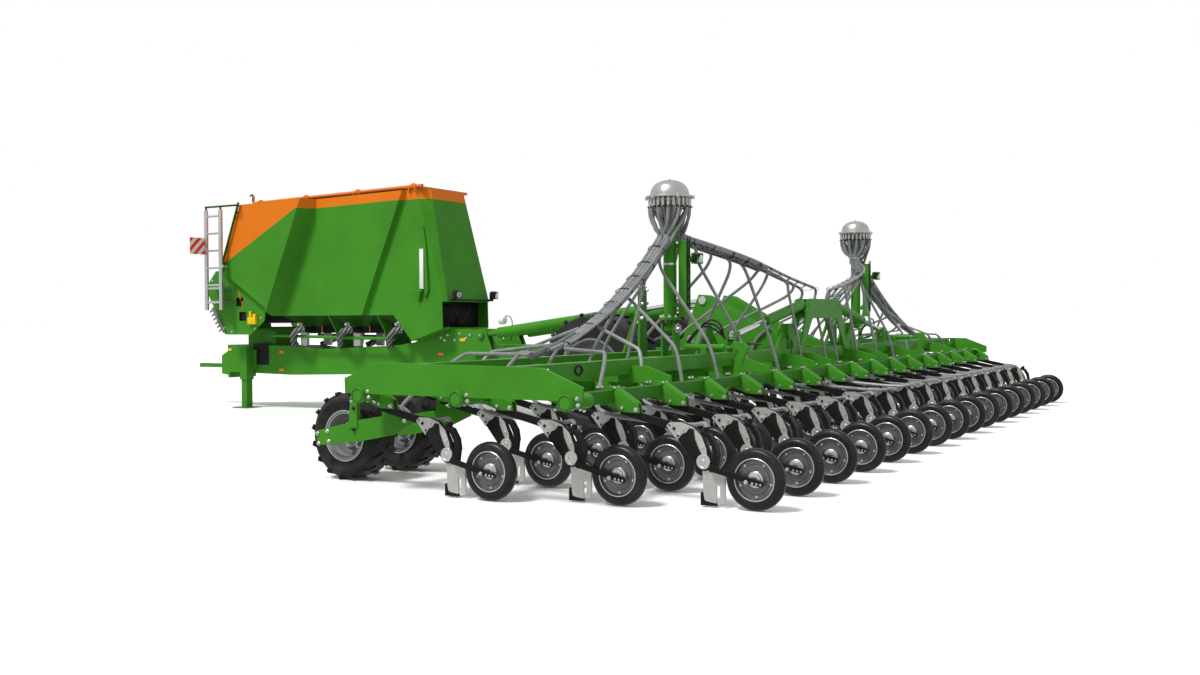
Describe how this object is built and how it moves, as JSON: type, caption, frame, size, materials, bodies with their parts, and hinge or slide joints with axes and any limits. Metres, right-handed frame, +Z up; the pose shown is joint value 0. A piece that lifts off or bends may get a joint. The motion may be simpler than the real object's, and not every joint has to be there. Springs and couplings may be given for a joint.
{
  "type": "towed air seed drill",
  "caption": "Towed wide air seed drill with a slim hopper cart, folding tool frame, tine coulters with press wheels and two distributor masts.",
  "frame": {"origin": "on the ground, on the centre line, at the middle of the machine's length", "axes": "+X in the direction of travel towards the hitch, +Y to the machine's left, +Z up"},
  "size_m": [11.8922, 12.17, 3.121],
  "materials": {
    "green_paint": "glossy green paint",
    "dark_green_paint": "green paint in shade",
    "orange_cover": "orange paint and cover cloth",
    "black_paint": "black coated iron",
    "galvanised": "galvanised steel",
    "tyre_rubber": "matt tyre rubber",
    "rim_grey": "silver grey rim paint",
    "hose": "smooth grey seed hose",
    "air_hose": "black corrugated hose",
    "aluminium": "bare aluminium",
    "lamp": "black lamp housing",
    "marker": "red and white warning film"
  },
  "bodies": {
    "root": {"air_hoses": "air_hose", "drawbar_beam": "green_paint", "front_console": "green_paint", "handrails": "green_paint", "hitch_head": "green_paint", "hopper_cover": "orange_cover", "hopper_funnels": "dark_green_paint", "hopper_shell": "green_paint", "hopper_supports": "dark_green_paint", "ladder": "aluminium", "marker_panels": "marker", "metering_units": "galvanised", "parking_leg": "green_paint", "rear_lamps": "lamp", "road_axle": "green_paint"},
    "tool_frame": {"a_frame": "green_paint", "centre_frame": "green_paint", "coulter_arms_centre": "black_paint", "coulter_shares_centre": "galvanised", "seed_hoses_centre": "hose", "tool_beams_centre": "green_paint"},
    "wing_left": {"adjuster_left": "green_paint", "coulter_arms_left": "black_paint", "coulter_shares_left": "galvanised", "guide_arm_left": "green_paint", "seed_hoses_left": "hose", "tool_beams_left": "green_paint", "wing_frame_left": "green_paint"},
    "wing_right": {"adjuster_right": "green_paint", "coulter_arms_right": "black_paint", "coulter_shares_right": "galvanised", "guide_arm_right": "green_paint", "seed_hoses_right": "hose", "tool_beams_right": "green_paint", "wing_frame_right": "green_paint"},
    "mast_left": {"distributor_left": "galvanised", "mast_left": "green_paint"},
    "mast_right": {"distributor_right": "galvanised", "mast_right": "green_paint"},
    "fold_barrel_left": {"fold_barrel_left": "green_paint"},
    "fold_barrel_right": {"fold_barrel_right": "green_paint"},
    "fold_rod_left": {"fold_rod_left": "green_paint"},
    "fold_rod_right": {"fold_rod_right": "green_paint"},
    "lift_barrels": {"lift_barrels": "green_paint"},
    "lift_rods": {"lift_rods": "green_paint"},
    "guide_wheels_left": {"guide_wheels_left": "tyre_rubber"},
    "guide_wheels_right": {"guide_wheels_right": "tyre_rubber"},
    "road_wheel_left": {"road_rim_left": "rim_grey", "road_tyre_left": "tyre_rubber"},
    "road_wheel_right": {"road_rim_right": "rim_grey", "road_tyre_right": "tyre_rubber"},
    "press_wheels_front_centre": {"press_wheels_front_centre": "tyre_rubber"},
    "press_wheels_front_left": {"press_wheels_front_left": "tyre_rubber"},
    "press_wheels_front_right": {"press_wheels_front_right": "tyre_rubber"},
    "press_wheels_middle_centre": {"press_wheels_middle_centre": "tyre_rubber"},
    "press_wheels_middle_left": {"press_wheels_middle_left": "tyre_rubber"},
    "press_wheels_middle_right": {"press_wheels_middle_right": "tyre_rubber"},
    "press_wheels_rear_centre": {"press_wheels_rear_centre": "tyre_rubber"},
    "press_wheels_rear_left": {"press_wheels_rear_left": "tyre_rubber"},
    "press_wheels_rear_right": {"press_wheels_rear_right": "tyre_rubber"}
  },
  "joints": [
    {"name": "frame_tilt", "type": "hinge", "parent": "root", "child": "tool_frame", "pos_m": [-2.83375, 0, 1.05], "axis": [0, 1, 0], "range_deg": [0, 90]},
    {"name": "wing_fold_left", "type": "hinge", "parent": "tool_frame", "child": "wing_left", "pos_m": [-4.23375, 1, 1.15], "axis": [1, 0, 0], "range_deg": [0, 90], "deforming": ["seed_hoses_left", "seed_hoses_centre"]},
    {"name": "mast_fold_left", "type": "hinge", "parent": "wing_left", "child": "mast_left", "pos_m": [-3.76375, 2.77, 1.2], "axis": [1, 0, 0], "range_deg": [-92, 2]},
    {"name": "fold_cylinder_left", "type": "hinge", "parent": "tool_frame", "child": "fold_barrel_left", "pos_m": [-4.23375, 0.5, 1.445], "axis": [1, 0, 0], "range_deg": [-2, 75.61]},
    {"name": "fold_rod_left", "type": "slide", "parent": "fold_barrel_left", "child": "fold_rod_left", "axis": [0, 0.9852, -0.1712], "range_m": [-0.7045, 0.005]},
    {"name": "guide_spin_left", "type": "hinge", "parent": "wing_left", "child": "guide_wheels_left", "pos_m": [-2.24375, 5.46, 0.36], "axis": [0, 1, 0], "continuous": true},
    {"name": "road_spin_left", "type": "hinge", "parent": "root", "child": "road_wheel_left", "pos_m": [-1.93375, 0.95, 0.685], "axis": [0, 1, 0], "continuous": true},
    {"name": "wing_fold_right", "type": "hinge", "parent": "tool_frame", "child": "wing_right", "pos_m": [-4.23375, -1, 1.15], "axis": [-1, 0, 0], "range_deg": [0, 90], "deforming": ["seed_hoses_right", "seed_hoses_centre"]},
    {"name": "mast_fold_right", "type": "hinge", "parent": "wing_right", "child": "mast_right", "pos_m": [-3.76375, -2.77, 1.2], "axis": [-1, 0, 0], "range_deg": [-92, 2]},
    {"name": "fold_cylinder_right", "type": "hinge", "parent": "tool_frame", "child": "fold_barrel_right", "pos_m": [-4.23375, -0.5, 1.445], "axis": [-1, 0, 0], "range_deg": [-2, 75.61]},
    {"name": "fold_rod_right", "type": "slide", "parent": "fold_barrel_right", "child": "fold_rod_right", "axis": [0, -0.9852, -0.1712], "range_m": [-0.7045, 0.005]},
    {"name": "guide_spin_right", "type": "hinge", "parent": "wing_right", "child": "guide_wheels_right", "pos_m": [-2.24375, -5.46, 0.36], "axis": [0, 1, 0], "continuous": true},
    {"name": "road_spin_right", "type": "hinge", "parent": "root", "child": "road_wheel_right", "pos_m": [-1.93375, -0.95, 0.685], "axis": [0, 1, 0], "continuous": true},
    {"name": "lift_cylinders", "type": "hinge", "parent": "root", "child": "lift_barrels", "pos_m": [0.18625, 0, 1.09], "axis": [0, 1, 0], "range_deg": [-6.92, 2]},
    {"name": "lift_rods", "type": "slide", "parent": "lift_barrels", "child": "lift_rods", "axis": [-0.9917, 0, 0.1283], "range_m": [-0.6291, 0.005]},
    {"name": "press_spin_rear_left", "type": "hinge", "parent": "wing_left", "child": "press_wheels_rear_left", "pos_m": [-5.73375, 5.375, 0.2125], "axis": [0, 1, 0], "continuous": true},
    {"name": "press_spin_rear_centre", "type": "hinge", "parent": "tool_frame", "child": "press_wheels_rear_centre", "pos_m": [-5.73375, 0.125, 0.2125], "axis": [0, 1, 0], "continuous": true},
    {"name": "press_spin_rear_right", "type": "hinge", "parent": "wing_right", "child": "press_wheels_rear_right", "pos_m": [-5.73375, -5.875, 0.2125], "axis": [0, 1, 0], "continuous": true},
    {"name": "press_spin_middle_left", "type": "hinge", "parent": "wing_left", "child": "press_wheels_middle_left", "pos_m": [-4.82375, 5.625, 0.2125], "axis": [0, 1, 0], "continuous": true},
    {"name": "press_spin_middle_centre", "type": "hinge", "parent": "tool_frame", "child": "press_wheels_middle_centre", "pos_m": [-4.82375, 0.375, 0.2125], "axis": [0, 1, 0], "continuous": true},
    {"name": "press_spin_middle_right", "type": "hinge", "parent": "wing_right", "child": "press_wheels_middle_right", "pos_m": [-4.82375, -5.625, 0.2125], "axis": [0, 1, 0], "continuous": true},
    {"name": "press_spin_front_left", "type": "hinge", "parent": "wing_left", "child": "press_wheels_front_left", "pos_m": [-3.91375, 5.875, 0.2125], "axis": [0, 1, 0], "continuous": true},
    {"name": "press_spin_front_centre", "type": "hinge", "parent": "tool_frame", "child": "press_wheels_front_centre", "pos_m": [-3.91375, 0.625, 0.2125], "axis": [0, 1, 0], "continuous": true},
    {"name": "press_spin_front_right", "type": "hinge", "parent": "wing_right", "child": "press_wheels_front_right", "pos_m": [-3.91375, -5.375, 0.2125], "axis": [0, 1, 0], "continuous": true}
  ],
  "couplings": [
    {"joint": "mast_fold_left", "follows": "wing_fold_left", "ratio": -1},
    {"joint": "fold_cylinder_left", "follows": "wing_fold_left", "ratio": 0.81794},
    {"joint": "fold_rod_left", "follows": "wing_fold_left", "m_per_rad": -0.4453},
    {"joint": "mast_fold_right", "follows": "wing_fold_right", "ratio": -1},
    {"joint": "fold_cylinder_right", "follows": "wing_fold_right", "ratio": 0.81794},
    {"joint": "fold_rod_right", "follows": "wing_fold_right", "m_per_rad": -0.4453},
    {"joint": "lift_cylinders", "follows": "frame_tilt", "ratio": -0.054653},
    {"joint": "lift_rods", "follows": "frame_tilt", "m_per_rad": -0.39728}
  ]
}
